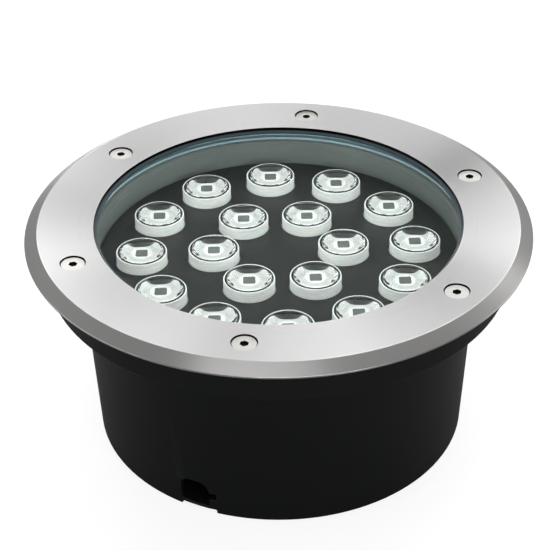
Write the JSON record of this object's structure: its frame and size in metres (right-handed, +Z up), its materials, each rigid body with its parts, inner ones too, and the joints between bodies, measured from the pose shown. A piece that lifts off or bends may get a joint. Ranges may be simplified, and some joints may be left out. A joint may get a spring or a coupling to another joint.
{
  "type": "in ground well light",
  "caption": "Round recessed ground light: stainless trim ring over thick glass, ring of small lenses, cast lamp cup with driver and gland, lifting out of a black mounting sleeve.",
  "frame": {"origin": "middle of the underside of the mounting sleeve, which stands on the bottom of its hole", "axes": "+Z up, out of the ground, along the common axis of sleeve, lamp and ring; -Y is the side of the cable notch"},
  "size_m": [0.2, 0.2, 0.0915],
  "materials": {
    "sleeve_plastic": "matte",
    "cast_aluminium": "satin",
    "ring_steel": "brushed",
    "screw_steel": "satin",
    "window_glass": "polished",
    "gasket_rubber": "matte",
    "plate_black": "satin",
    "lens_acrylic": "polished",
    "emitter_white": "satin",
    "board_white": "satin",
    "plate_aluminium": "satin",
    "zinc_steel": "satin",
    "driver_case": "matte",
    "pad_grey": "matte",
    "terminal_nylon": "matte",
    "lead_jacket": "matte",
    "gland_nylon": "satin",
    "seal_rubber": "matte"
  },
  "bodies": {
    "sleeve": {"mounting_sleeve": "sleeve_plastic"},
    "lamp": {"housing": "cast_aluminium", "lens_plate": "plate_black", "lenses": "lens_acrylic", "led_emitters": "emitter_white", "led_board": "board_white", "heat_plate": "plate_aluminium", "board_screws": "zinc_steel", "driver": "driver_case", "driver_pad": "pad_grey", "terminal_block": "terminal_nylon", "input_leads": "lead_jacket", "output_leads": "lead_jacket", "gland_body": "gland_nylon", "gland_seal": "seal_rubber"},
    "cover": {"face_ring": "ring_steel", "face_screws": "screw_steel", "glass_window": "window_glass", "glass_gasket": "gasket_rubber"},
    "cap_nut": {"gland_nut": "gland_nylon"}
  },
  "joints": [
    {"name": "lamp_lift", "type": "slide", "parent": "sleeve", "child": "lamp", "axis": [0, 0, 1], "range_m": [0, 0.09]},
    {"name": "cover_lift", "type": "slide", "parent": "lamp", "child": "cover", "axis": [0, 0, 1], "range_m": [0, 0.03]},
    {"name": "gland_nut_turn", "type": "hinge", "parent": "lamp", "child": "cap_nut", "pos_m": [0, -0.035, 0.0154], "axis": [0, -1, 0], "range_deg": [0, 720]}
  ]
}
